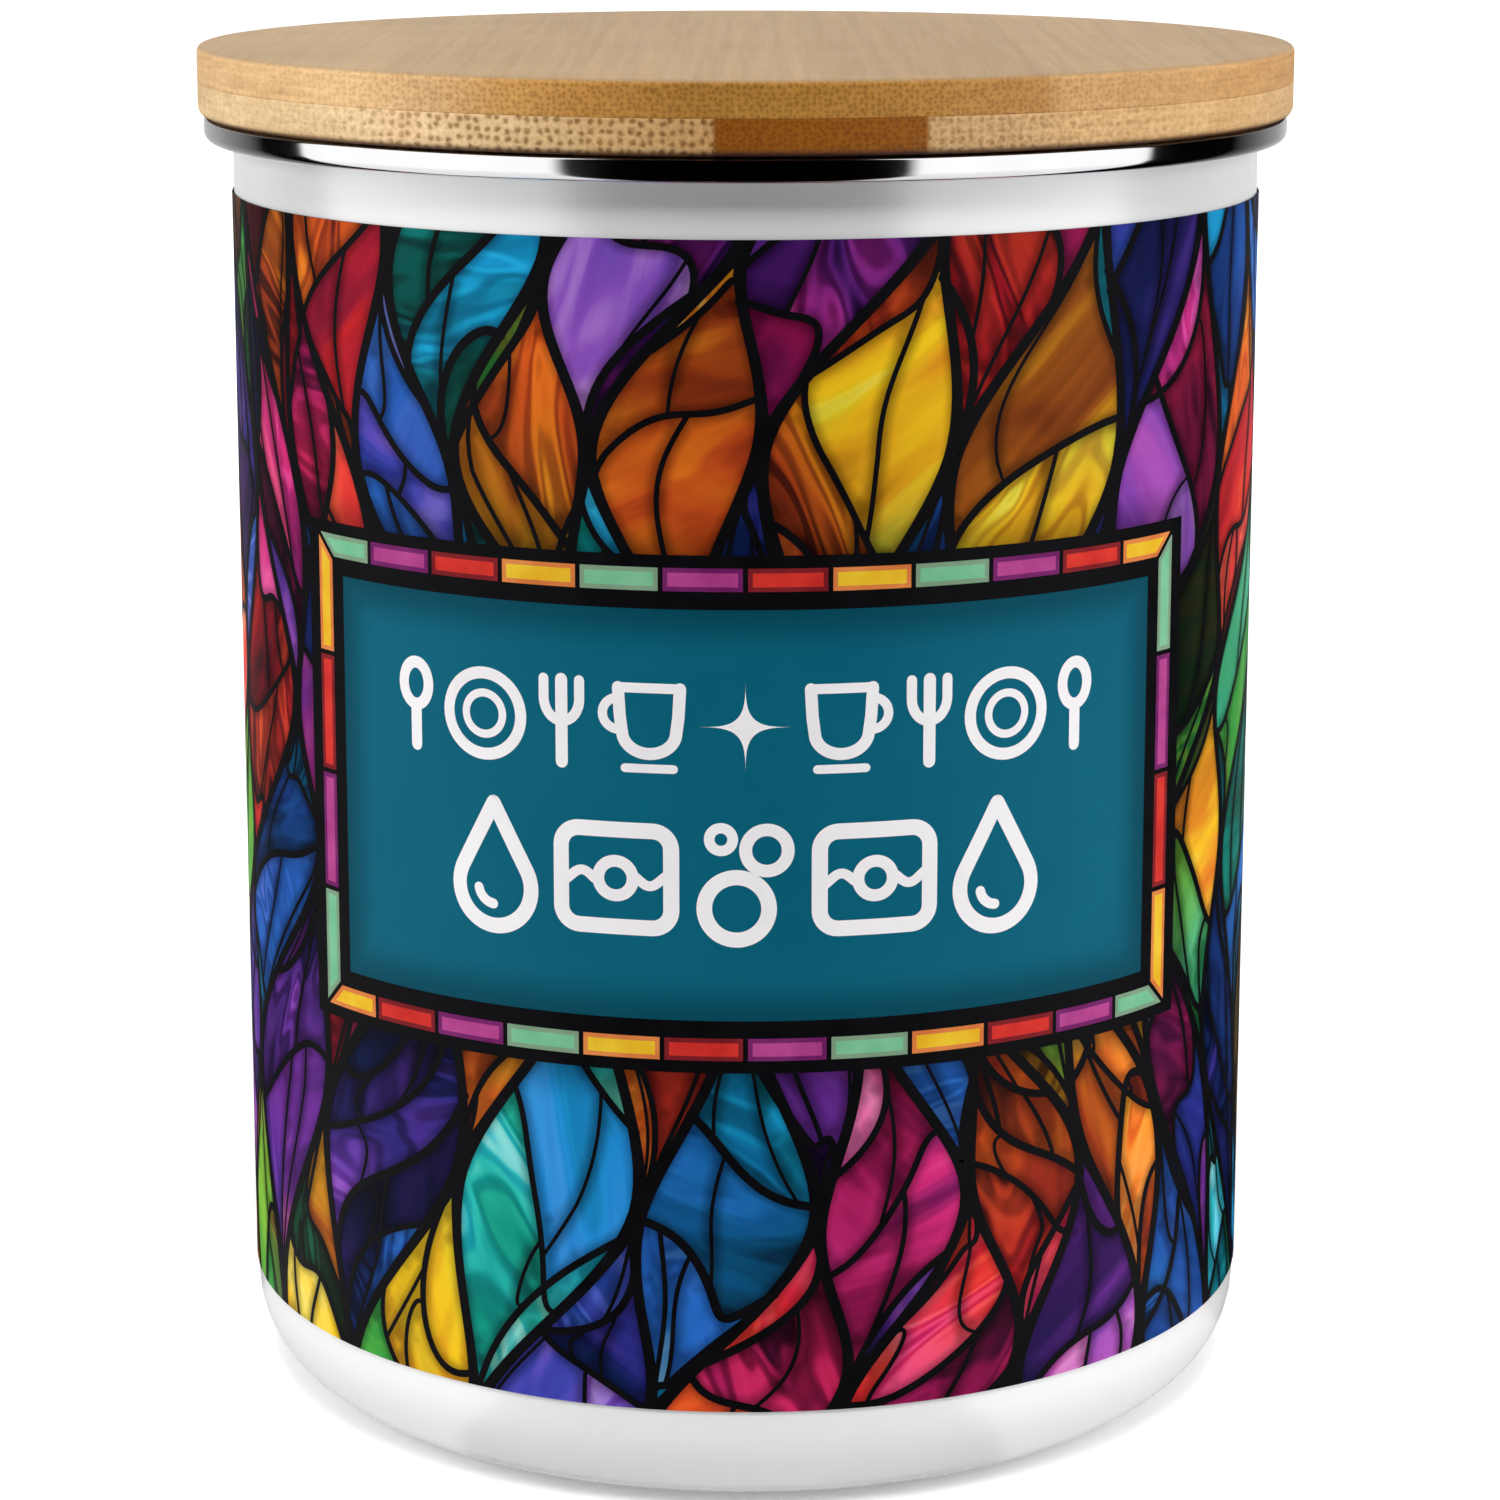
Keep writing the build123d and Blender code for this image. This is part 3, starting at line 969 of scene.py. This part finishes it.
def tile_row(start, along, inward, length, count):
    """Outlines of a row of tiles, mitred at both ends, as in the part's source."""
    pitch = length / count
    corner = tile_gap / 2 * math.sqrt(2)
    outlines = []
    for tile in range(count):
        near = near_inside = pitch * tile + tile_gap / 2
        far = far_inside = pitch * (tile + 1) - tile_gap / 2
        if tile == 0:
            near, near_inside = corner, tile_width + corner
        if tile == count - 1:
            far, far_inside = length - corner, length - tile_width - corner
        reach = [(near, 0), (far, 0), (far_inside, tile_width), (near_inside, tile_width)]
        outlines.append([
            (start[0] + along[0] * run + inward[0] * depth,
             start[1] + along[1] * run + inward[1] * depth)
            for run, depth in reach
        ])
    return outlines


def closed_chain(corners, step=0.8):
    """A closed chain of short runs through the corners."""
    chain = []
    for here, after in pairs(corners):
        here, after = np.array(here), np.array(after)
        count = max(1, math.ceil(np.linalg.norm(after - here) / step))
        chain += [tuple(here + (after - here) * number / count) for number in range(count)]
    return chain + chain[:1]


def inset(corners, depth):
    """The corners of a convex outline moved inwards by a depth."""
    corners = [np.array(corner) for corner in corners]
    if area_of(np.array(corners), [list(range(len(corners)))]) < 0:
        corners = corners[::-1]
    lines = []
    for here, after in pairs(corners):
        run = (after - here) / np.linalg.norm(after - here)
        normal = np.array((-run[1], run[0]))
        lines.append((here + normal * depth, run))
    moved = []
    for (first, along), (second, across) in zip(lines[-1:] + lines[:-1], lines):
        gap = second - first
        scale = (gap[0] * across[1] - gap[1] * across[0]) / (along[0] * across[1] - along[1] * across[0])
        moved.append(tuple(first + along * scale))
    return moved


# Two tones of each tile's edge and two of its middle
tile_tones = {
    "sage": ("78957a", "82a085", "6cb68a", "80c29a"),
    "magenta": ("681a5c", "782a6a", "a43a80", "b84a90"),
    "red": ("701a20", "84242a", "c22a26", "da3a2e"),
    "amber": ("d0703a", "e08a4a", "e4ac1e", "ecc634"),
}
tile_edge = 0.42
tile_grid = 0.9
tile_cloud = 0.35
tiles_side = panel_half - frame_side_edge
tiles_high = panel_high - frame_edge
tiles_low = panel_low + frame_edge
tiles_rise = tiles_high - tiles_low
rows = [
    (tile_row((-tiles_side, tiles_high), (1, 0), (0, -1), 2 * tiles_side, tiles_across), 1),
    (tile_row((-tiles_side, tiles_low), (1, 0), (0, 1), 2 * tiles_side, tiles_across), -1),
    (tile_row((-tiles_side, tiles_high), (0, -1), (1, 0), tiles_rise, tiles_up), -1),
    (tile_row((tiles_side, tiles_high), (0, -1), (-1, 0), tiles_rise, tiles_up), 1),
]
for number, (name, tones) in enumerate(tile_tones.items()):
    layer = Film()
    for outlines, order in rows:
        first = number if order > 0 else len(tile_tones) - 1 - number
        for outline in outlines[first::len(tile_tones)]:
            chains = [closed_chain(outline), closed_chain(inset(outline, tile_edge))]
            flat, groups, _ = fill(chains, tile_grid)
            border = distance(flat, chains[:1])
            for faces in groups:
                inner = min(border[index] for face in faces for index in face) > tile_edge / 2
                layer.add(flat, faces, kind=int(inner))
    slot = "tile_" + name
    edge = ink_surface(slot + "_edge", *tones[:2], tile_cloud)
    middle = ink_surface(slot, *tones[2:], tile_cloud)
    place_piece("panel_tiles_" + name, layer.mesh(*panel_layer), "tin", [slot], [edge, middle])


# Ornament of household signs on the panel, each drawn about its own middle

def arc(middle, radii, start, stop, count=28):
    """Places along an elliptical arc, with its angles in degrees."""
    return [
        (middle[0] + radii[0] * math.cos(math.radians(angle)),
         middle[1] + radii[1] * math.sin(math.radians(angle)))
        for angle in np.linspace(start, stop, count)
    ]


def straight_run(start, stop):
    """Places along a straight line."""
    start, stop = np.array(start), np.array(stop)
    return [tuple(start + (stop - start) * share) for share in np.linspace(0, 1, 9)]


def ring(middle, radii, width):
    return ("closed", arc(middle, radii, 0, 360, 49)[:-1], width)


def stroke(points, width):
    return ("open", points, width)


def straight(start, stop, width):
    return ("open", straight_run(start, stop), width)


def plate_sign():
    return [ring((0, 0), (3.75, 3.75), 1.1), ring((0, 0), (1.9, 1.9), 0.75)]


def fork_sign():
    prongs = [(-1.7, 3.8), (-1.7, 2.9)] + arc((0, 2.1), (1.7, 2.1), 180, 360) + [(1.7, 2.9), (1.7, 3.8)]
    return [straight((0, -3.75), (0, 3.8), 1.15), stroke(prongs, 0.95)]


def spoon_sign():
    return [straight((0, -3.75), (0, -0.2), 1.2), ring((0, 1.95), (1.45, 1.95), 1.1)]


def cup_sign(side):
    """A cup with its handle to a side."""
    bowl = [(-2.8, 3.4), (-2.65, 0.8)] + arc((0, -0.6), (2.45, 2.0), 190, 350) + [(2.65, 0.8), (2.8, 3.4)]
    handle = [(side * x, z) for x, z in arc((2.75, 1.0), (1.5, 1.45), 80, -85)]
    return [
        stroke(bowl, 1.1),
        straight((-2.9, 3.4), (2.9, 3.4), 0.9),
        stroke(handle, 0.85),
        straight((-2.2, -3.95), (2.2, -3.95), 0.8),
    ]


def sparkle_sign(size):
    points = []
    for number in range(4):
        angle = math.pi / 2 * number
        tip = np.array((math.cos(angle), math.sin(angle))) * size
        side = np.array((math.cos(angle + math.pi / 2), math.sin(angle + math.pi / 2))) * size
        for share in np.linspace(0, 1, 13, endpoint=False):
            points.append(tuple(tip * (1 - share) ** 2.4 + side * share ** 2.4))
    return [("filled", points, 0)]


def drop_sign(size):
    round_part = arc((0, -0.3 * size), (0.62 * size, 0.62 * size), -208, 28, 40)
    down = straight_run((0, size), round_part[0])[:-1]
    up = straight_run((0, size), round_part[-1])[-2::-1]
    shine = arc((0, -0.3 * size), (0.28 * size, 0.28 * size), 190, 265, 12)
    return [stroke(down + round_part + up, 1.45), stroke(shine, 0.95)]


def tablet_sign():
    corners = []
    for x, y, start in ((3.4, 2.8, 0), (-3.4, 2.8, 90), (-3.4, -2.8, 180), (3.4, -2.8, 270)):
        corners += arc((x, y), (1.7, 1.7), start, start + 90, 9)
    left = [(x, 0.6 * math.sin(x * 1.5)) for x in np.linspace(-4.6, -1.9, 13)]
    right = [(-x, -y) for x, y in left]
    waves = [stroke(left, 0.9), stroke(right, 0.9)]
    return [("closed", corners, 1.45), ring((0, 0), (1.6, 1.6), 1.1)] + waves


def bubbles_sign():
    return [
        ring((-0.7, -2.5), (2.9, 2.9), 1.4),
        ring((2.0, 2.9), (1.9, 1.9), 1.15),
        ring((-2.1, 3.9), (1.05, 1.05), 0.95),
    ]


ornament = Film()
sign_grid = 0.7


def draw(sign, middle):
    """Adds a sign to the ornament."""
    for kind, points, width in sign:
        points = np.array(points) + middle
        if kind == "filled":
            chain = [tuple(point) for point in points]
            flat, groups, _ = fill([chain + chain[:1]], sign_grid)
            for faces in groups:
                ornament.add(flat, faces)
            continue
        if kind == "closed":
            points = closed_chain(points.tolist())[:-1]
        ornament.add(*ribbon(points, width, closed=kind == "closed"))


def draw_row(signs, height, half):
    """Draws signs side by side with even gaps, over a row that is twice a half long."""
    reaches = []
    for sign in signs:
        low = min(point[0] - width / 2 for _, points, width in sign for point in points)
        high = max(point[0] + width / 2 for _, points, width in sign for point in points)
        reaches.append((low, high))
    gap = (2 * half - sum(high - low for low, high in reaches)) / (len(signs) - 1)
    place = -half
    for sign, (low, high) in zip(signs, reaches):
        draw(sign, (place - low, height))
        place += high - low + gap


table_signs = [spoon_sign(), plate_sign(), fork_sign()]
upper_signs = table_signs + [cup_sign(-1), sparkle_sign(4.0), cup_sign(1)] + table_signs[::-1]
draw_row(upper_signs, height=75.6, half=34.0)
lower_signs = [drop_sign(6.0), tablet_sign(), bubbles_sign(), tablet_sign(), drop_sign(6.0)]
draw_row(lower_signs, height=61.4, half=28.0)
place_piece("panel_ornament", ornament.mesh(*sign_layer), "tin", [],
            [ink_surface("panel_pale", "f0edef", "f7f5f6", 0.12, detail=3)])


# Stage

floor_reach = 4.0
floor_mesh = bpy.data.meshes.new("floor")
corners = [(-1, -1), (1, -1), (1, 1), (-1, 1)]
floor_mesh.from_pydata([(x * floor_reach, y * floor_reach, 0) for x, y in corners], [], [(0, 1, 2, 3)])
add_object("floor", floor_mesh)
paper = Surface("floor")
mottle = paper.noise(scale=0.02, detail=2)
floor_mesh.materials.append(
    paper.finish(paper.shaded(mottle, "f2f2f2", "f4f4f4"), 0.6, Specular_IOR_Level=0.0))
place = paper.node("TexCoord").outputs["Object"]
from_tin = paper.node("VectorMath", {0: place}, operation="LENGTH").outputs["Value"]
bright = paper.glow(paper.times(paper.seen(), paper.spread(from_tin, 0.1, 1.2, 0.25, 0.9)))
both = paper.node("AddShader", {0: paper.shader.outputs[0], 1: bright})
paper.feed(paper.output, both.outputs[0])

# Grey levels of the studio's round wall, by the turn from the front
wall_levels = [
    (-180, 0.48), (-170, 0.46), (-158, 0.42), (-145, 0.33), (-133, 0.22), (-121, 0.1), (-115, 0.0),
    (-101, 0.0), (-99, 1.0), (-38, 1.0), (-35, 0.0), (31, 0.0), (34, 1.0), (86.5, 1.0), (88.5, 0.0),
    (117, 0.0), (121, 0.04), (133, 0.15), (145, 0.28), (158, 0.48), (170, 0.51), (180, 0.48),
]
flag_levels = [(-36, 0.0), (33, 0.0)]
wall_radius = 0.5
wall_height = 0.9
wall_share = 1.3
floor_lift = 0.0004


def studio_wall(name, levels, near, near_share, bounced):
    """A round wall and the floor inside it, for reflections or for bounced light alone."""
    turns, shades = zip(*levels)
    rims = [
        (near, floor_lift, near_share), (near + 0.05, floor_lift, 1.0),
        (wall_radius, floor_lift, wall_share), (wall_radius, wall_height, wall_share),
    ]
    points, values, faces = [], [], []
    places = sorted(set(turns) | set(range(int(min(turns)), int(max(turns)), 4)))
    for turn in places:
        angle = math.radians(turn)
        for radius, height, share in rims:
            points.append((radius * math.sin(angle), -radius * math.cos(angle), height))
            values.append(float(np.interp(turn, turns, shades)) * share)
    for column in range(len(places) - 1):
        for rim in range(len(rims) - 1):
            first = column * len(rims) + rim
            faces.append((first, first + len(rims), first + len(rims) + 1, first + 1))
    mesh = bpy.data.meshes.new(name)
    mesh.from_pydata(points, [], faces)
    mesh.attributes.new("level", "FLOAT", "POINT").data.foreach_set("value", values)
    look = Surface(name)
    look.feed(look.output, look.glow(look.attribute("level")))
    mesh.materials.append(look.material)
    made = add_object(name, mesh)
    made.visible_camera = False
    made.visible_diffuse = bounced
    made.visible_glossy = not bounced
    made.visible_shadow = False
    made.visible_transmission = False


studio_wall("studio_wall", wall_levels, 0.045, 0.4, False)
studio_wall("front_flag", flag_levels, 0.15, 1.0, True)

world = bpy.data.worlds.new("studio")
scene.world = world
world.use_nodes = True
world.node_tree.nodes.clear()
sky = Nodes(world.node_tree)
level = sky.spread(sky.seen(), 0.0, 1.0, 0.3, 1.0)
background = sky.node("Background", {"Color": white, "Strength": level})
sky.node("OutputWorld", {"Surface": background.outputs[0]})


def lamp(name, place, size, power):
    """A soft square lamp that looks at the tin and doesn't show in reflections."""
    data = bpy.data.lights.new(name, "AREA")
    data.shape = "SQUARE"
    data.size = size
    data.energy = power
    made = add_object(name, data)
    made.location = place
    made.rotation_euler = (lamp_aim - made.location).to_track_quat("-Z", "Y").to_euler()
    made.visible_glossy = False
    made.visible_camera = False


lamp_aim = Vector((0, 0, 0.08))
lamp("lamp_left", (-1.044, -0.06, 0.42), 0.7, 5.8)
lamp("lamp_right", (1.044, -0.06, 0.42), 0.7, 5.8)
lamp("lamp_front", (0, -0.677, 1.047), 0.5, 10.9)
lamp("lamp_back", (0, 1.05, 0.3), 0.8, 4.0)

# Camera

camera_dip = 0.2017
lens = bpy.data.cameras.new("camera")
lens.sensor_width = 36
lens.lens = 102.46
lens.shift_x = 0.003
lens.shift_y = -0.0735
lens.clip_start = 0.01
camera = add_object("camera", lens)
camera.location = (0, -0.4208, 0.15933)
camera.rotation_euler = (math.pi / 2 - camera_dip, 0, 0)
scene.camera = camera

scene.view_settings.view_transform = "Standard"
